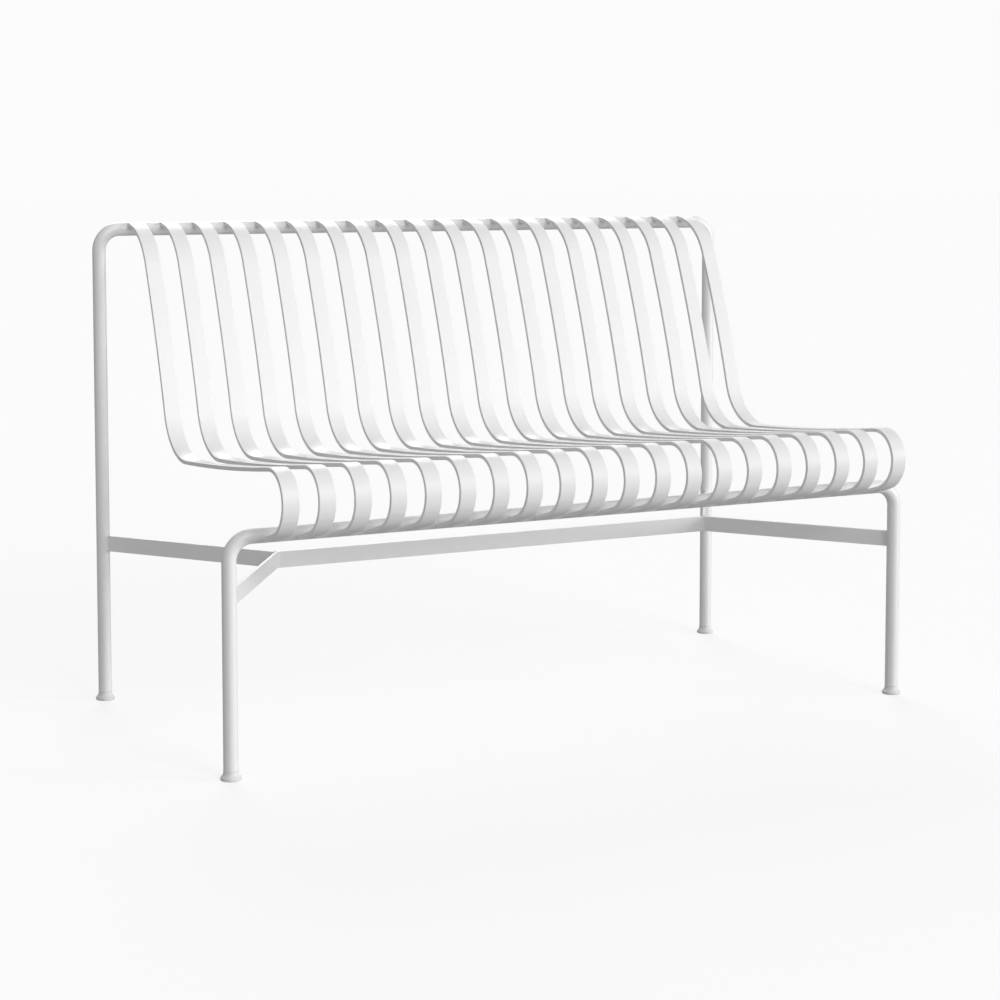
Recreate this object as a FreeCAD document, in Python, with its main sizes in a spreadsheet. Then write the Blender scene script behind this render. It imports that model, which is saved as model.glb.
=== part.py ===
import FreeCAD, Part
import math
import os
import Sketcher

# Garden bench, welded from steel: two bent tube frames, curled flat slats, flat bar stretchers
# and plastic foot glides.
# Millimetres. +Z is up, +X runs along the bench, the sitter faces -Y.
# The origin is on the floor, in the middle of the bench's overall length and depth.

VALUES = {
    # tube frames
    "tube_radius": 11.0,
    "tube_wall": 2.0,
    "tube_bend": 35.0,
    "leg_offset": 598.0,
    "rear_leg_y": 328.7,
    "front_leg_y": -252.3,
    "rear_rail_height": 789.0,
    "front_rail_height": 356.6,
    # slats
    "slat_count": 20,
    "slat_pitch": 56.6,
    "slat_width": 26.0,
    "slat_thickness": 6.0,
    "weld_angle": 2.8,
    "weld_dip": 15.9,
    "weld_land": 5.0,
    "crest_radius": 102.0,
    "crest_span": 64.3,
    "back_radius": 2170.0,
    "back_span": 6.7,
    "lap_radius": 93.0,
    "lap_span": 76.5,
    "seat_radius": 4670.0,
    "seat_span": 4.25,
    "knee_radius": 46.7,
    "knee_span": 126.8,
    # stretchers, and the rounding that rolling leaves on every flat bar
    "bar_edge": 0.8,
    "bar_thickness": 5.0,
    "bar_height": 26.0,
    "bar_level": 265.5,
    "bar_bend": 10.0,
    "junction_x": 405.0,
    # foot glides
    "foot_height": 15.0,
    "foot_radius": 15.5,
    "foot_neck": 11.4,
    "foot_rim": 5.0,
    "foot_edge": 1.5,
    "foot_flare": 9.0,
    "plug_length": 22.0,
    "plug_gap": 0.05,
}

CLOSE = 0.001       # lengths this near to each other are the same
LEAST_CUT = 10.0    # cubic millimetres that every coping removes at least

doc = FreeCAD.newDocument("garden_bench")
sheet = doc.addObject("Spreadsheet::Sheet", "sizes")
for row, (alias, value) in enumerate(VALUES.items(), start=1):
    sheet.set("A%d" % row, alias)
    sheet.set("B%d" % row, str(value))
    sheet.setAlias("B%d" % row, alias)
doc.recompute()


def cell(alias):
    return float(sheet.get(alias))


def bound(formula):
    """Spell a formula of sheet aliases the way setExpression wants it."""
    words = []
    word = ""
    for letter in formula + " ":
        if letter.isalnum() or letter == "_":
            word += letter
            continue
        words.append("sizes." + word if word in VALUES else word)
        words.append(letter)
        word = ""
    return "".join(words).strip()


def new_body(label, **position):
    """A body with its own label, placed by expressions such as y="rear_leg_y"."""
    body = doc.addObject("PartDesign::Body", label)
    body.Label = label
    for axis, formula in position.items():
        body.setExpression("Placement.Base." + axis, bound(formula))
    return body


def new_sketch(body, name, role, lift=None):
    """A sketch on one of the body's own origin planes, lifted along the plane's normal."""
    sketch = body.newObject("Sketcher::SketchObject", name)
    plane = [item for item in body.Origin.OriginFeatures if item.Role == role][0]
    sketch.AttachmentSupport = [(plane, "")]
    sketch.MapMode = "FlatFace"
    if lift:
        sketch.setExpression("AttachmentOffset.Base.z", bound(lift))
    return sketch


def bind(sketch, constraint, formula):
    """Add a dimensional constraint and bind it to the sheet."""
    number = sketch.addConstraint(constraint)
    sketch.setExpression("Constraints[%d]" % number, bound(formula))


def fix_point(sketch, edge, end, point, formulas):
    """Fix one end of an edge at a position given by two formulas, either of which may be 0."""
    kinds = ("DistanceX", "DistanceY")
    for kind, value, formula in zip(kinds, point, formulas):
        if formula == "0":
            axis = -2 if kind == "DistanceX" else -1
            sketch.addConstraint(Sketcher.Constraint("PointOnObject", edge, end, axis))
        else:
            bind(sketch, Sketcher.Constraint(kind, -1, 1, edge, end, value), formula)


def add_circle(sketch, point, formulas, radius_formula, radius):
    """A circle with its centre and radius bound to the sheet."""
    centre = FreeCAD.Vector(point[0], point[1], 0)
    edge = sketch.addGeometry(Part.Circle(centre, FreeCAD.Vector(0, 0, 1), radius))
    bind(sketch, Sketcher.Constraint("Radius", edge, radius), radius_formula)
    fix_point(sketch, edge, 3, point, formulas)
    return edge


def add_rectangle(sketch, low, high, low_formulas, high_formulas):
    """A closed rectangle whose low and high corners are bound to the sheet."""
    corners = [(low[0], low[1]), (high[0], low[1]), (high[0], high[1]), (low[0], high[1])]
    points = [FreeCAD.Vector(x, y, 0) for x, y in corners]
    edges = [sketch.addGeometry(Part.LineSegment(points[i], points[(i + 1) % 4])) for i in range(4)]
    for i in range(4):
        sketch.addConstraint(Sketcher.Constraint("Coincident", edges[i], 2, edges[(i + 1) % 4], 1))
        kind = "Horizontal" if i % 2 == 0 else "Vertical"
        sketch.addConstraint(Sketcher.Constraint(kind, edges[i]))
    fix_point(sketch, edges[0], 1, low, low_formulas)
    fix_point(sketch, edges[2], 1, high, high_formulas)


class Trail:
    """A chain of tangent lines and arcs in a sketch, walked from a start point and a heading."""

    def __init__(self, sketch, point, heading):
        self.sketch = sketch
        self.point = FreeCAD.Vector(point[0], point[1], 0)
        self.heading = math.radians(heading)
        self.last = None

    def _join(self, edge, start, end):
        if self.last is not None:
            self.sketch.addConstraint(Sketcher.Constraint("Tangent", self.last[0], self.last[1], edge, start))
        self.last = (edge, end)

    def line(self, length, formula=None):
        """Go straight on."""
        step = FreeCAD.Vector(math.cos(self.heading), math.sin(self.heading), 0) * length
        edge = self.sketch.addGeometry(Part.LineSegment(self.point, self.point + step))
        self._join(edge, 1, 2)
        self.point = self.point + step
        if formula:
            bind(self.sketch, Sketcher.Constraint("Distance", edge, length), formula)
        return edge

    def arc(self, radius, turn, radius_formula=None, span_formula=None):
        """Turn left (positive) or right (negative) by a number of degrees."""
        side = 1 if turn > 0 else -1
        normal = FreeCAD.Vector(-math.sin(self.heading), math.cos(self.heading), 0) * side
        centre = self.point + normal * radius
        start = math.atan2(self.point.y - centre.y, self.point.x - centre.x)
        end = start + math.radians(turn)
        circle = Part.Circle(centre, FreeCAD.Vector(0, 0, 1), radius)
        edge = self.sketch.addGeometry(Part.ArcOfCircle(circle, min(start, end), max(start, end)))
        self._join(edge, 1 if side > 0 else 2, 2 if side > 0 else 1)
        self.point = centre + FreeCAD.Vector(math.cos(end), math.sin(end), 0) * radius
        self.heading += math.radians(turn)
        if radius_formula:
            bind(self.sketch, Sketcher.Constraint("Radius", edge, radius), radius_formula)
        if span_formula:
            span = Sketcher.Constraint("Angle", edge, math.radians(abs(turn)))
            bind(self.sketch, span, span_formula)
        return edge


def build_frame(label, leg_y, rail_height):
    """An upside-down U bent from one round tube: two legs and the rail between them."""
    body = new_body(label, y=leg_y)
    leg = cell("leg_offset")
    bend = cell("tube_bend")
    foot = cell("foot_height")
    path = new_sketch(body, label + "_path", "XZ_Plane")
    trail = Trail(path, (-leg, foot), 90)
    upright = trail.line(cell(rail_height) - bend - foot)
    trail.arc(bend, -90, "tube_bend")
    rail = trail.line(2 * (leg - bend))
    trail.arc(bend, -90, "tube_bend")
    far_upright = trail.line(cell(rail_height) - bend - foot)
    path.addConstraint(Sketcher.Constraint("Vertical", upright))
    path.addConstraint(Sketcher.Constraint("Horizontal", rail))
    path.addConstraint(Sketcher.Constraint("Vertical", far_upright))
    fix_point(path, upright, 1, (-leg, foot), ("-leg_offset", "foot_height"))
    fix_point(path, far_upright, 2, (leg, foot), ("leg_offset", "foot_height"))
    bind(path, Sketcher.Constraint("DistanceY", -1, 1, rail, 1, cell(rail_height)), rail_height)
    ring = new_sketch(body, label + "_section", "XY_Plane", "foot_height")
    outer = cell("tube_radius")
    inner = outer - cell("tube_wall")
    add_circle(ring, (-leg, 0), ("-leg_offset", "0"), "tube_radius", outer)
    add_circle(ring, (-leg, 0), ("-leg_offset", "0"), "tube_radius - tube_wall", inner)
    pipe = body.newObject("PartDesign::AdditivePipe", label + "_tube")
    pipe.Profile = ring
    pipe.Spine = (path, [])
    body.Tip = pipe
    return body


def slat_side(sketch, side):
    """One long edge of the slat's side profile: side is +1 for the seat face, -1 for the back face."""
    half = side * cell("slat_thickness") / 2
    grow = "%s slat_thickness / 2" % ("+" if side > 0 else "-")
    shrink = "%s slat_thickness / 2" % ("-" if side > 0 else "+")
    # The crest is centred under the top rail, so the strip's face runs level over the tube's top.
    lean = math.radians(cell("weld_angle"))
    centre_z = cell("rear_rail_height") + cell("tube_radius") - cell("slat_thickness") / 2 - cell("crest_radius")
    centre_formula = "rear_rail_height + tube_radius - slat_thickness / 2 - crest_radius"
    start_y = cell("rear_leg_y") - (cell("crest_radius") + half) * math.sin(lean)
    start_z = centre_z + (cell("crest_radius") + half) * math.cos(lean)
    trail = Trail(sketch, (start_y, start_z), 180 + cell("weld_angle"))
    start = trail.point
    crest = trail.arc(cell("crest_radius") + half, cell("crest_span"), "crest_radius " + grow, "crest_span")
    trail.arc(cell("back_radius") + half, cell("back_span"), "back_radius " + grow, "back_span")
    trail.arc(cell("lap_radius") - half, -cell("lap_span"), "lap_radius " + shrink, "lap_span")
    trail.arc(cell("seat_radius") - half, -cell("seat_span"), "seat_radius " + shrink, "seat_span")
    trail.arc(cell("knee_radius") + half, cell("knee_span"), "knee_radius " + grow, "knee_span")
    # The curl leads into a straight tail that meets the front rail's underside at a shallow dip.
    # Its radius follows from where the tail has to lie.
    dip = math.radians(cell("weld_dip"))
    off_axis = cell("tube_radius") - cell("slat_thickness") / 2 + half
    land = cell("weld_land")
    end_y = cell("front_leg_y") - off_axis * math.sin(dip) - land * math.cos(dip)
    end_z = cell("front_rail_height") - off_axis * math.cos(dip) + land * math.sin(dip)
    inward = FreeCAD.Vector(math.sin(dip), math.cos(dip), 0)
    here = FreeCAD.Vector(-math.sin(trail.heading), math.cos(trail.heading), 0)
    gap = trail.point - FreeCAD.Vector(end_y, end_z, 0)
    trail.arc(gap.dot(inward) / (1 - here.dot(inward)), 360 - math.degrees(trail.heading + dip))
    tail = trail.line((end_y - trail.point.x) / math.cos(dip))
    fix_point(sketch, crest, 3, (cell("rear_leg_y"), centre_z), ("rear_leg_y", centre_formula))
    lead = Sketcher.Constraint("DistanceX", crest, 1, crest, 3, cell("rear_leg_y") - start_y)
    bind(sketch, lead, "(crest_radius %s) * sin(weld_angle)" % grow)
    bind(sketch, Sketcher.Constraint("Angle", -1, 1, tail, 1, -dip), "-weld_dip")
    off_formula = "(tube_radius - slat_thickness / 2 %s)" % grow
    fix_point(sketch, tail, 2, (end_y, end_z),
              ("front_leg_y - %s * sin(weld_dip) - weld_land * cos(weld_dip)" % off_formula,
               "front_rail_height - %s * cos(weld_dip) + weld_land * sin(weld_dip)" % off_formula))
    return (crest, 1, start), (tail, 2, trail.point)


def close_gap(sketch, first, second):
    """Join two chain ends, each given as (edge, end, point), with a straight edge."""
    edge = sketch.addGeometry(Part.LineSegment(first[2], second[2]))
    sketch.addConstraint(Sketcher.Constraint("Coincident", edge, 1, first[0], first[1]))
    sketch.addConstraint(Sketcher.Constraint("Coincident", edge, 2, second[0], second[1]))


def bar_edges(shape, axis, thickness):
    """The edges that run along a bar: square to an axis (0 for X, 2 for Z), and not across its ends."""
    names = []
    for number, edge in enumerate(shape.Edges, start=1):
        middle = edge.getParameterByLength(edge.Length / 2)
        places = [edge.valueAt(place)[axis] for place in (edge.FirstParameter, middle, edge.LastParameter)]
        if max(places) - min(places) < CLOSE and abs(edge.Length - thickness) > CLOSE:
            names.append("Edge%d" % number)
    return names


def soften(body, name, solid, edges, radius_formula):
    """Round the named edges of a solid feature."""
    rounded = body.newObject("PartDesign::Fillet", name)
    rounded.Base = (solid, edges)
    rounded.setExpression("Radius", bound(radius_formula))
    body.Tip = rounded
    doc.recompute()


def cope_ends(body, copes, name):
    """Cut the sketched circles right through the body's solid, both ways."""
    whole = body.Tip.Shape.Volume
    cut = body.newObject("PartDesign::Pocket", name)
    cut.Profile = copes
    cut.Type = "ThroughAll"
    cut.SideType = "Symmetric"
    body.Tip = cut
    doc.recompute()
    assert cut.Shape.Volume < whole - LEAST_CUT, name + " was not coped"


def build_slat(number):
    """One flat strip bent to the bench's side profile, coped to both rails and padded to its width."""
    label = "slat_%02d" % number
    count = int(cell("slat_count"))
    left = "slat_pitch * %g - slat_width / 2" % (number - 1 - (count - 1) / 2)
    body = new_body(label, x=left)
    outline = new_sketch(body, label + "_outline", "YZ_Plane")
    front_start, front_stop = slat_side(outline, 1)
    back_start, back_stop = slat_side(outline, -1)
    close_gap(outline, front_start, back_start)
    close_gap(outline, front_stop, back_stop)
    pad = body.newObject("PartDesign::Pad", label + "_strip")
    pad.Profile = outline
    pad.setExpression("Length", bound("slat_width"))
    body.Tip = pad
    doc.recompute()
    soften(body, label + "_softened", pad, bar_edges(pad.Shape, 0, cell("slat_thickness")), "bar_edge")
    copes = new_sketch(body, label + "_copes", "YZ_Plane")
    for leg_y, height in (("rear_leg_y", "rear_rail_height"), ("front_leg_y", "front_rail_height")):
        add_circle(copes, (cell(leg_y), cell(height)), (leg_y, height), "tube_radius", cell("tube_radius"))
    cope_ends(body, copes, label + "_coped")
    return body


def brace_angle():
    """The plan angle of the bent ends and braces, and their reach along and rise across the bench."""
    reach = cell("leg_offset") - cell("junction_x")
    rise = (cell("rear_leg_y") - cell("front_leg_y")) / 2
    return math.degrees(math.atan2(rise, reach)), reach, rise


REACH = "(leg_offset - junction_x)"
RISE = "((rear_leg_y - front_leg_y) / 2)"
SLANT = "sqrt(%s ^ 2 + %s ^ 2)" % (REACH, RISE)
TURN = "atan2(%s; %s)" % (RISE, REACH)


def build_stretcher():
    """The long flat bar on edge, whose ends bend forward to the front legs."""
    body = new_body("centre_stretcher", y="(rear_leg_y + front_leg_y) / 2", z="bar_level")
    angle, reach, rise = brace_angle()
    bend = cell("bar_bend")
    setback = bend * math.tan(math.radians(angle / 2))
    path = new_sketch(body, "stretcher_path", "XY_Plane")
    trail = Trail(path, (0, 0), 0)
    middle = trail.line(cell("junction_x") - setback)
    trail.arc(bend, -angle, "bar_bend")
    leg = trail.line(math.hypot(reach, rise) - setback)
    fix_point(path, middle, 1, (0, 0), ("0", "0"))
    path.addConstraint(Sketcher.Constraint("Horizontal", middle))
    fix_point(path, leg, 2, (cell("leg_offset"), -rise), ("leg_offset", "-" + RISE))
    slope = Sketcher.Constraint("Angle", -1, 1, leg, 1, math.radians(-angle))
    bind(path, slope, "-" + TURN)
    section = new_sketch(body, "stretcher_section", "YZ_Plane")
    half_size = (cell("bar_thickness") / 2, cell("bar_height") / 2)
    add_rectangle(section, (-half_size[0], -half_size[1]), half_size,
                  ("-bar_thickness / 2", "-bar_height / 2"), ("bar_thickness / 2", "bar_height / 2"))
    half = body.newObject("PartDesign::AdditivePipe", "stretcher_half")
    half.Profile = section
    half.Spine = (path, [])
    mirror = body.newObject("PartDesign::Mirrored", "stretcher_both")
    mirror.Originals = [half]
    mirror.MirrorPlane = ([item for item in body.Origin.OriginFeatures if item.Role == "YZ_Plane"][0], [""])
    body.Tip = mirror
    doc.recompute()
    edges = bar_edges(mirror.Shape, 2, cell("bar_thickness"))
    soften(body, "stretcher_softened", mirror, edges, "bar_edge")
    copes = new_sketch(body, "stretcher_copes", "XY_Plane")
    for side in (-1, 1):
        add_circle(copes, (side * cell("leg_offset"), -rise), ("%d * leg_offset" % side, "-" + RISE),
                   "tube_radius", cell("tube_radius"))
    cope_ends(body, copes, "stretcher_coped")
    return body


def build_brace(label, side):
    """A straight flat bar from the stretcher's bend back to a rear leg, coped at both ends."""
    angle, reach, rise = brace_angle()
    body = new_body(label, x="%d * junction_x" % side, y="(rear_leg_y + front_leg_y) / 2", z="bar_level")
    turn = FreeCAD.Rotation(FreeCAD.Vector(0, 0, 1), angle if side > 0 else 180 - angle)
    body.Placement = FreeCAD.Placement(body.Placement.Base, turn)
    body.setExpression("Placement.Rotation.Angle", bound(TURN if side > 0 else "180 deg - " + TURN))
    plan = new_sketch(body, label + "_plan", "XY_Plane")
    half = cell("bar_thickness") / 2
    length = math.hypot(reach, rise)
    add_rectangle(plan, (0, -half), (length, half), ("0", "-bar_thickness / 2"), (SLANT, "bar_thickness / 2"))
    bar = body.newObject("PartDesign::Pad", label + "_bar")
    bar.Profile = plan
    bar.SideType = "Symmetric"
    bar.setExpression("Length", bound("bar_height"))
    body.Tip = bar
    doc.recompute()
    soften(body, label + "_softened", bar, bar_edges(bar.Shape, 2, cell("bar_thickness")), "bar_edge")
    copes = new_sketch(body, label + "_copes", "XY_Plane")
    add_circle(copes, (length, 0), (SLANT, "0"), "tube_radius", cell("tube_radius"))
    bend = cell("bar_bend")
    setback = bend * math.tan(math.radians(angle / 2))
    turned = math.radians(angle)
    along = -setback * math.cos(turned) - bend * math.sin(turned)
    across = setback * math.sin(turned) - bend * math.cos(turned)
    tangent = "bar_bend * tan(%s / 2)" % TURN
    along_formula = "-%s * cos(%s) - bar_bend * sin(%s)" % (tangent, TURN, TURN)
    across_formula = "%d * (%s * sin(%s) - bar_bend * cos(%s))" % (side, tangent, TURN, TURN)
    add_circle(copes, (along, side * across), (along_formula, across_formula),
               "bar_bend + bar_thickness / 2", bend + half)
    cope_ends(body, copes, label + "_coped")
    return body


def build_glide(label, x_formula, y_formula):
    """A moulded foot glide: a flared foot under the tube and a plug pressed up inside it."""
    body = new_body(label, x=x_formula, y=y_formula)
    outline = new_sketch(body, label + "_outline", "XZ_Plane")
    plug = cell("tube_radius") - cell("tube_wall") - cell("plug_gap")
    top = cell("foot_height")
    plug_formula = "tube_radius - tube_wall - plug_gap"
    corners = [
        ((0, 0), ("0", "0")),
        ((cell("foot_radius"), 0), ("foot_radius", "0")),
        ((cell("foot_radius"), cell("foot_rim")), ("foot_radius", "foot_rim")),
        ((cell("foot_neck"), top), ("foot_neck", "foot_height")),
        ((plug, top), (plug_formula, "foot_height")),
        ((plug, top + cell("plug_length")), (plug_formula, "foot_height + plug_length")),
        ((0, top + cell("plug_length")), ("0", "foot_height + plug_length")),
    ]
    count = len(corners)
    points = [FreeCAD.Vector(place[0], place[1], 0) for place, formulas in corners]
    flare_start = 2
    edges = []
    for index in range(count):
        first = points[index]
        second = points[(index + 1) % count]
        if index == flare_start:
            edges.append(outline.addGeometry(hollow_arc(first, second, cell("foot_flare"))))
        else:
            edges.append(outline.addGeometry(Part.LineSegment(first, second)))
    for index in range(count):
        follower = edges[(index + 1) % count]
        end = 1 if index == flare_start else 2
        start = 2 if (index + 1) % count == flare_start else 1
        outline.addConstraint(Sketcher.Constraint("Coincident", edges[index], end, follower, start))
        fix_point(outline, follower, start, corners[(index + 1) % count][0], corners[(index + 1) % count][1])
    bind(outline, Sketcher.Constraint("Radius", edges[flare_start], cell("foot_flare")), "foot_flare")
    turned = body.newObject("PartDesign::Revolution", label + "_turned")
    turned.Profile = outline
    turned.ReferenceAxis = (outline, ["V_Axis"])
    turned.Angle = 360
    body.Tip = turned
    doc.recompute()
    edges = rim_edges(turned.Shape, cell("foot_radius"))
    soften(body, label + "_softened", turned, edges, "foot_edge")
    return body


def hollow_arc(first, second, radius):
    """The arc between two points that bows towards the axis, below and inside their chord."""
    chord = second - first
    sag = radius - math.sqrt(radius ** 2 - (chord.Length / 2) ** 2)
    inward = FreeCAD.Vector(-chord.y, chord.x, 0).normalize() * -sag
    if ((first + second) / 2 + inward).x > ((first + second) / 2).x:
        inward = inward * -1
    return Part.Arc(first, (first + second) / 2 + inward, second)


def rim_edges(shape, radius):
    """The circular edges of a turned shape that have the given radius."""
    names = []
    for number, edge in enumerate(shape.Edges, start=1):
        if isinstance(edge.Curve, Part.Circle) and abs(edge.Curve.Radius - radius) < CLOSE:
            names.append("Edge%d" % number)
    return names


pieces = [
    build_frame("rear_frame", "rear_leg_y", "rear_rail_height"),
    build_frame("front_frame", "front_leg_y", "front_rail_height"),
]
for slat_number in range(1, int(cell("slat_count")) + 1):
    pieces.append(build_slat(slat_number))
pieces.append(build_stretcher())
pieces.append(build_brace("rear_brace_left", -1))
pieces.append(build_brace("rear_brace_right", 1))
for end, leg_y in (("front", "front_leg_y"), ("rear", "rear_leg_y")):
    pieces.append(build_glide("foot_glide_%s_left" % end, "-leg_offset", leg_y))
    pieces.append(build_glide("foot_glide_%s_right" % end, "leg_offset", leg_y))

doc.recompute()
for item in doc.Objects:
    if "Invalid" in item.State or "Error" in item.State:
        raise RuntimeError("%s did not compute" % item.Name)
os.makedirs("parts", exist_ok=True)
for piece in pieces:
    if piece.Shape.isNull() or not piece.Shape.isValid():
        raise RuntimeError("%s has no valid shape" % piece.Label)
    piece.Shape.exportStep("parts/%s.step" % piece.Label)
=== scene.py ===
import math

import bmesh
import bpy
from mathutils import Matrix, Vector


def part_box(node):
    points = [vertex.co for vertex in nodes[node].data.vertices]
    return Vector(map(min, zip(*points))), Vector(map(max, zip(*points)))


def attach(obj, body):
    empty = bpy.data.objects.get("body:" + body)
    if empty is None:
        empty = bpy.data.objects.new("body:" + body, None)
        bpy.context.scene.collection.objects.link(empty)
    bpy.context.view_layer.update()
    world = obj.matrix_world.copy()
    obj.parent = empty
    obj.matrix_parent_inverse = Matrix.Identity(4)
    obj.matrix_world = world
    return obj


# Garden bench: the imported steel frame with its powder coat, its weld seams and its foot glides,
# on a pale studio floor. Metres. +Z is up and the bench faces -Y.

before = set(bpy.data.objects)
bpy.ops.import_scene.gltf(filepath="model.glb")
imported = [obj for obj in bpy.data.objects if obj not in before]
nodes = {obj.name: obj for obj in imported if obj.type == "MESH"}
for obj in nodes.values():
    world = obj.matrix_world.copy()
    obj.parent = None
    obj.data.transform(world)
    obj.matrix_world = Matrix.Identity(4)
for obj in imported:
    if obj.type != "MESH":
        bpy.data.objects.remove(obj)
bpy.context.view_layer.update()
scene = bpy.context.scene

# Whites, as linear values.
COAT_WHITE = 0.87
WELD_WHITE = 0.86
GLIDE_WHITE = 0.80
FLOOR_GREY = 0.3
PURE_WHITE = (1.0, 1.0, 1.0, 1.0)

# Surface textures: features per metre, and depths in metres.
NOISE_MIDDLE = (0.3, 0.7)          # the range that most of a noise's values lie in
CLOUDS = 5.0
GRAINS = 1500.0
GRAIN_PEAKS = (0.62, 0.74)         # only the noise's peaks show as darker grains
PEEL = 330.0
SWELLS = 38.0
WELD_SWELLS = 90.0
FLOW_MARKS = 60.0
SPARKS = 2200.0
MOTTLES = 3.0
PEEL_DEPTH = 0.00012
GRAIN_DEPTH = 0.00002
SWELL_DEPTH = 0.0004
WELD_SWELL_DEPTH = 0.0006
SPARK_DEPTH = 0.00004
FLOW_DEPTH = 0.00015

# The flat bars and their joints.
BAR_THICKNESS = 0.005              # the stretchers' flat bar
JUNCTION_X = 0.405                 # where the braces' and the stretcher's middle lines meet
JUNCTION_GAP = 0.0011              # from the bars' meeting point to the stretcher's outer face

# The bead that each weld leaves.
WELD_SIZE = 0.0011                 # its radius
WELD_CORNER = 0.0012               # how tightly a seam turns round a bar's corner
CORNER_STEPS = 4                   # straight pieces in a quarter turn
WELD_STEP = 0.0007                 # spacing of the rings along a seam
WELD_SIDES = 10
RIPPLE = 0.07                      # share by which a seam swells and thins along its length
RIPPLE_PITCH = 0.0028
# Where the slats' coped ends start and stop round each rail, in degrees.
REAR_SEAM = (27.6, 65.9)
FRONT_SEAM = (42.9, 78.9)

# The studio.
FLOOR_HALF = 60.0
FLOOR_GLOW = 0.72
BACKDROP = 0.966                   # brightness of the studio behind the floor
SKY_SPAN = 0.3                     # how far above and below the horizon its light changes
SKY_BELOW = 0.33
SKY_ABOVE = 0.39

# The camera stands in front of the bench's left half and looks along it. Angles in degrees.
CAMERA_PLACE = (-1.793, -3.3624, 0.8918)
CAMERA_YAW = 27.79
CAMERA_DIP = 4.777
CAMERA_LENS = 83.11
CAMERA_SENSOR = 36.0
CAMERA_SHIFT = -0.14
CAMERA_REACH = 1000.0

# Sockets of a Mix node set to colours, which share their names with its other kinds.
MIX_FIRST = 6
MIX_SECOND = 7
MIX_RESULT = 2


def near_white(warmth, value):
    """A white of the given value, warmer (positive) or cooler (negative)."""
    return (value * (1 + warmth), value, value * (1 - warmth), 1.0)


class Graph:
    """Short words for building a node tree."""

    def __init__(self, name):
        self.material = bpy.data.materials.new(name)
        self.material.use_nodes = True
        self.tree = self.material.node_tree
        self.tree.nodes.clear()
        self.output = self.add("ShaderNodeOutputMaterial")
        self.shader = self.add("ShaderNodeBsdfPrincipled")
        self.link(self.shader, "BSDF", self.output, "Surface")
        self.place = self.add("ShaderNodeTexCoord")

    def add(self, kind, **sockets):
        node = self.tree.nodes.new(kind)
        for name, value in sockets.items():
            node.inputs[name].default_value = value
        return node

    def link(self, source, output, target, socket):
        self.tree.links.new(source.outputs[output], target.inputs[socket])

    def set(self, **sockets):
        """Constants on the shader itself. An underscore stands for a space."""
        for name, value in sockets.items():
            self.shader.inputs[name.replace("_", " ")].default_value = value

    def noise(self, scale, detail=2.0, roughness=0.5):
        """A 3-D noise in the object's own metres: scale is features per metre."""
        node = self.add("ShaderNodeTexNoise", Scale=scale, Detail=detail, Roughness=roughness)
        self.link(self.place, "Object", node, "Vector")
        return node

    def span(self, noise, taken, given):
        """Map a range of a noise onto another range, held at both ends."""
        node = self.add("ShaderNodeMapRange")
        node.inputs["From Min"].default_value = taken[0]
        node.inputs["From Max"].default_value = taken[1]
        node.inputs["To Min"].default_value = given[0]
        node.inputs["To Max"].default_value = given[1]
        self.link(noise, "Fac", node, "Value")
        return node

    def blend(self, share, first, second):
        """A colour between two, by a share. Each is a colour or an earlier blend."""
        node = self.add("ShaderNodeMix")
        node.data_type = "RGBA"
        self.link(share, "Result", node, 0)
        for socket, colour in ((MIX_FIRST, first), (MIX_SECOND, second)):
            if isinstance(colour, bpy.types.Node):
                self.link(colour, MIX_RESULT, node, socket)
            else:
                node.inputs[socket].default_value = colour
        return node

    def bump(self, noise, depth, strength, under=None):
        """A height map, in metres of depth, laid over an earlier one."""
        node = self.add("ShaderNodeBump", Distance=depth, Strength=strength)
        self.link(noise, "Fac", node, "Height")
        if under is not None:
            self.link(under, "Normal", node, "Normal")
        return node


def powder_coat(name, value, swells, swell_depth):
    """White polyester powder coat: a satin skin with orange peel, over steel."""
    g = Graph(name)
    cloud = g.noise(CLOUDS, detail=3.0)
    cloud_share = g.span(cloud, NOISE_MIDDLE, (0.0, 1.0))
    tint = g.blend(cloud_share, near_white(0.004, value), near_white(-0.003, value * 0.985))
    grain = g.noise(GRAINS)
    grain_share = g.span(grain, GRAIN_PEAKS, (0.0, 0.35))
    coat = g.blend(grain_share, tint, near_white(0.0, value * 0.93))
    g.link(coat, MIX_RESULT, g.shader, "Base Color")
    peel = g.noise(PEEL, detail=3.0, roughness=0.45)
    shine = g.span(peel, (0.25, 0.75), (0.36, 0.46))
    g.link(shine, "Result", g.shader, "Roughness")
    swell = g.bump(g.noise(swells), swell_depth, 0.35)
    skin = g.bump(peel, PEEL_DEPTH, 0.55, under=swell)
    fine = g.bump(grain, GRAIN_DEPTH, 0.5, under=skin)
    g.link(fine, "Normal", g.shader, "Normal")
    g.set(IOR=1.5, Coat_Weight=0.12, Coat_Roughness=0.3)
    return g.material


def moulded_plastic(name, value):
    """Pale moulded nylon: matte, with a fine spark-eroded grain and faint flow marks."""
    g = Graph(name)
    flow = g.noise(FLOW_MARKS, detail=3.0)
    flow_share = g.span(flow, NOISE_MIDDLE, (0.0, 1.0))
    tint = g.blend(flow_share, near_white(0.006, value), near_white(-0.002, value * 0.965))
    g.link(tint, MIX_RESULT, g.shader, "Base Color")
    grain = g.noise(SPARKS)
    dull = g.span(grain, NOISE_MIDDLE, (0.5, 0.62))
    g.link(dull, "Result", g.shader, "Roughness")
    rough = g.bump(grain, SPARK_DEPTH, 0.6)
    ripple = g.bump(flow, FLOW_DEPTH, 0.3, under=rough)
    g.link(ripple, "Normal", g.shader, "Normal")
    g.set(IOR=1.52)
    return g.material


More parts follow.
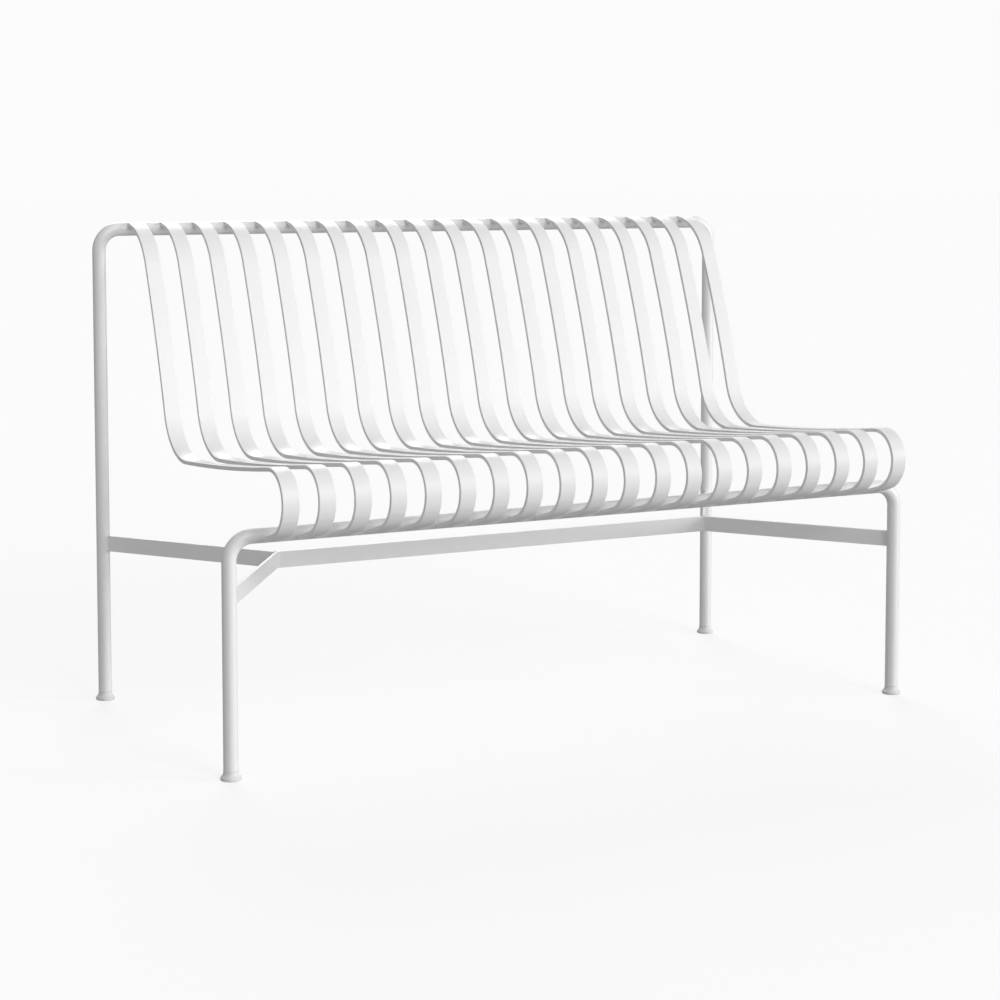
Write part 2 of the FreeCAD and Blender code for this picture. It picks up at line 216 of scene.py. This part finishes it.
def floor_paint(name, value, glow):
    """A matte, faintly mottled grey that also gives off some light of its own."""
    g = Graph(name)
    share = g.span(g.noise(MOTTLES), NOISE_MIDDLE, (0.0, 1.0))
    tint = g.blend(share, near_white(0.0, value), near_white(0.0, value * 0.99))
    g.link(tint, MIX_RESULT, g.shader, "Base Color")
    g.set(Roughness=0.9, Specular_IOR_Level=0.0)
    g.set(Emission_Color=PURE_WHITE, Emission_Strength=glow)
    return g.material


def dress(piece, material):
    """Give a piece its material."""
    piece.data.materials.clear()
    piece.data.materials.append(material)


def add_mesh(name, verts, faces):
    """A new mesh object from points and faces."""
    mesh = bpy.data.meshes.new(name)
    mesh.from_pydata(verts, [], faces)
    mesh.update()
    piece = bpy.data.objects.new(name, mesh)
    scene.collection.objects.link(piece)
    return piece


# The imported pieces.

coat = powder_coat("powder_coat", COAT_WHITE, SWELLS, SWELL_DEPTH)
weld_coat = powder_coat("powder_coat_on_welds", WELD_WHITE, WELD_SWELLS, WELD_SWELL_DEPTH)
glide = moulded_plastic("glide_plastic", GLIDE_WHITE)

for name, piece in nodes.items():
    if name.startswith("foot_glide"):
        dress(piece, glide)
    else:
        dress(piece, coat)

# Weld seams: a thin closed bead runs round every bar where it meets a tube or another bar.


def between(start, end, share):
    """The point at a share of the way from one (a, b) point to another."""
    return (start[0] + (end[0] - start[0]) * share, start[1] + (end[1] - start[1]) * share)


def rounded_loop(half_a, half_b):
    """Evenly spaced points (a, b) round a rectangle with rounded corners."""
    round_by = min(WELD_CORNER, half_a, half_b)
    outline = []
    for turn, (sign_a, sign_b) in enumerate(((1, 1), (-1, 1), (-1, -1), (1, -1))):
        middle_a = sign_a * (half_a - round_by)
        middle_b = sign_b * (half_b - round_by)
        for step in range(CORNER_STEPS + 1):
            angle = math.radians(90 * turn + 90 / CORNER_STEPS * step)
            outline.append(
                (middle_a + round_by * math.cos(angle), middle_b + round_by * math.sin(angle))
            )
    points = []
    for index, start in enumerate(outline):
        end = outline[(index + 1) % len(outline)]
        count = max(1, round(math.dist(start, end) / WELD_STEP))
        points.extend(between(start, end, part / count) for part in range(count))
    return points


def bead(rings, verts, faces):
    """Sweep a small circle along a closed path given as (point, outward normal) pairs."""
    first = len(verts)
    count = len(rings)
    for index, (point, out) in enumerate(rings):
        ahead = (rings[(index + 1) % count][0] - rings[index - 1][0]).normalized()
        side = ahead.cross(out).normalized()
        swell = 1 + RIPPLE * math.sin(2 * math.pi * index * WELD_STEP / RIPPLE_PITCH)
        for corner in range(WELD_SIDES):
            angle = 2 * math.pi * corner / WELD_SIDES
            reach = side * math.cos(angle) + out * math.sin(angle)
            verts.append(point + reach * WELD_SIZE * swell)
    for index in range(count):
        here = first + index * WELD_SIDES
        there = first + (index + 1) % count * WELD_SIDES
        for corner in range(WELD_SIDES):
            after = (corner + 1) % WELD_SIDES
            faces.append((here + corner, here + after, there + after, there + corner))


def seam_piece(name, loops):
    """One piece made of several closed beads."""
    verts = []
    faces = []
    for rings in loops:
        bead(rings, verts, faces)
    piece = add_mesh(name, verts, faces)
    shell = bmesh.new()
    shell.from_mesh(piece.data)
    bmesh.ops.recalc_face_normals(shell, faces=shell.faces)
    shell.to_mesh(piece.data)
    shell.free()
    for face in piece.data.polygons:
        face.use_smooth = True
    dress(piece, weld_coat)
    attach(piece, "root")


def rail_loop(rail, slat, up, first, last):
    """The seam round a slat's end on a rail, between two angles round the rail. They count towards
    the front, from the rail's top when up is 1 and from its underside when up is -1."""
    low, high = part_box(rail)
    radius = (high.y - low.y) / 2
    axis_y = (low.y + high.y) / 2
    axis_z = high.z - radius
    slat_low, slat_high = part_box(slat)
    middle_x = (slat_low.x + slat_high.x) / 2
    middle = math.radians((first + last) / 2)
    reach = math.radians(last - first) / 2 * radius
    rings = []
    for along, across in rounded_loop((slat_high.x - slat_low.x) / 2, reach):
        angle = middle + across / radius
        out = Vector((0, -math.sin(angle), up * math.cos(angle)))
        rings.append((Vector((middle_x + along, axis_y, axis_z)) + out * radius, out))
    return rings


def leg_loop(leg, radius, towards, level, half_height):
    """The seam round a flat bar's end on a leg. Towards is the bar's way from the leg, in plan."""
    heading = math.atan2(towards.y, towards.x)
    rings = []
    for along, across in rounded_loop(half_height, BAR_THICKNESS / 2):
        angle = heading + across / radius
        out = Vector((math.cos(angle), math.sin(angle), 0))
        rings.append((Vector((leg.x, leg.y, level + along)) + out * radius, out))
    return rings


def brace_loop(start, towards, level, half_height):
    """The seam round a brace's end where it meets the stretcher's bend."""
    side = Vector((-towards.y, towards.x, 0))
    rings = []
    for along, across in rounded_loop(half_height, BAR_THICKNESS / 2):
        rings.append((Vector((start.x, start.y, level + along)) + side * across, towards))
    return rings


def stretcher_loops():
    """The seams of the stretcher and the braces: on all four legs and at both bends."""
    bar_low, bar_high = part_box("centre_stretcher")
    level = (bar_low.z + bar_high.z) / 2
    half_height = (bar_high.z - bar_low.z) / 2
    rear_low, rear_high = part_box("rear_frame")
    front_low, front_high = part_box("front_frame")
    radius = (rear_high.y - rear_low.y) / 2
    rear_y = (rear_low.y + rear_high.y) / 2
    front_y = (front_low.y + front_high.y) / 2
    leg_x = rear_high.x - radius
    loops = []
    for side in (-1, 1):
        junction = Vector((side * JUNCTION_X, (front_y + rear_y) / 2, 0))
        front_leg = Vector((side * leg_x, front_y, 0))
        rear_leg = Vector((side * leg_x, rear_y, 0))
        from_front = (junction - front_leg).normalized()
        from_rear = (junction - rear_leg).normalized()
        brace_end = junction - from_rear * JUNCTION_GAP
        loops.append(leg_loop(front_leg, radius, from_front, level, half_height))
        loops.append(leg_loop(rear_leg, radius, from_rear, level, half_height))
        loops.append(brace_loop(brace_end, -from_rear, level, half_height))
    return loops


slats = sorted(name for name in nodes if name.startswith("slat_"))
rear_loops = [rail_loop("rear_frame", slat, 1, *REAR_SEAM) for slat in slats]
front_loops = [rail_loop("front_frame", slat, -1, *FRONT_SEAM) for slat in slats]
seam_piece("weld_seams_rear_rail", rear_loops)
seam_piece("weld_seams_front_rail", front_loops)
seam_piece("weld_seams_stretchers", stretcher_loops())

# The floor takes shadows but throws no light back onto the bench.

floor = add_mesh(
    "studio_floor",
    [(-FLOOR_HALF, -FLOOR_HALF, 0), (FLOOR_HALF, -FLOOR_HALF, 0),
     (FLOOR_HALF, FLOOR_HALF, 0), (-FLOOR_HALF, FLOOR_HALF, 0)],
    [(0, 1, 2, 3)],
)
floor.data.materials.append(floor_paint("studio_floor", FLOOR_GREY, FLOOR_GLOW))
floor.visible_diffuse = False
floor.visible_glossy = False

# The light from all round is a little stronger from above. What is seen behind the floor is as pale
# as the floor, while the bench gets the dimmer light.

world = bpy.data.worlds.new("studio")
scene.world = world
world.use_nodes = True
sky = world.node_tree
sky.nodes.clear()
sky_output = sky.nodes.new("ShaderNodeOutputWorld")
background = sky.nodes.new("ShaderNodeBackground")
background.inputs["Color"].default_value = PURE_WHITE
direction = sky.nodes.new("ShaderNodeTexCoord")
split = sky.nodes.new("ShaderNodeSeparateXYZ")
ramp = sky.nodes.new("ShaderNodeMapRange")
ramp.inputs["From Min"].default_value = -SKY_SPAN
ramp.inputs["From Max"].default_value = SKY_SPAN
ramp.inputs["To Min"].default_value = SKY_BELOW
ramp.inputs["To Max"].default_value = SKY_ABOVE
path = sky.nodes.new("ShaderNodeLightPath")
choice = sky.nodes.new("ShaderNodeMix")
choice.data_type = "FLOAT"
choice.inputs["B"].default_value = BACKDROP
sky.links.new(direction.outputs["Generated"], split.inputs["Vector"])
sky.links.new(split.outputs["Z"], ramp.inputs["Value"])
sky.links.new(path.outputs["Is Camera Ray"], choice.inputs["Factor"])
sky.links.new(ramp.outputs["Result"], choice.inputs["A"])
sky.links.new(choice.outputs["Result"], background.inputs["Strength"])
sky.links.new(background.outputs["Background"], sky_output.inputs["Surface"])


def sun(name, turn, height, strength, spread):
    """A distant soft lamp. Turn is its bearing from the bench's front towards +X, height its
    elevation and spread the width of its disc, all in degrees."""
    data = bpy.data.lights.new(name, "SUN")
    data.energy = strength
    data.angle = math.radians(spread)
    lamp = bpy.data.objects.new(name, data)
    scene.collection.objects.link(lamp)
    lamp.rotation_euler = (math.radians(90 - height), 0, math.radians(turn))


sun("key", turn=55, height=9, strength=1.4, spread=20)
sun("fill", turn=10, height=28, strength=1.1, spread=30)
sun("back", turn=160, height=30, strength=1.2, spread=30)

camera_data = bpy.data.cameras.new("camera")
camera_data.sensor_width = CAMERA_SENSOR
camera_data.lens = CAMERA_LENS
camera_data.shift_y = CAMERA_SHIFT
camera_data.clip_end = CAMERA_REACH
camera = bpy.data.objects.new("camera", camera_data)
scene.collection.objects.link(camera)
camera.location = CAMERA_PLACE
camera.rotation_euler = (math.radians(90 - CAMERA_DIP), 0, math.radians(-CAMERA_YAW))
scene.camera = camera
scene.view_settings.view_transform = "Standard"
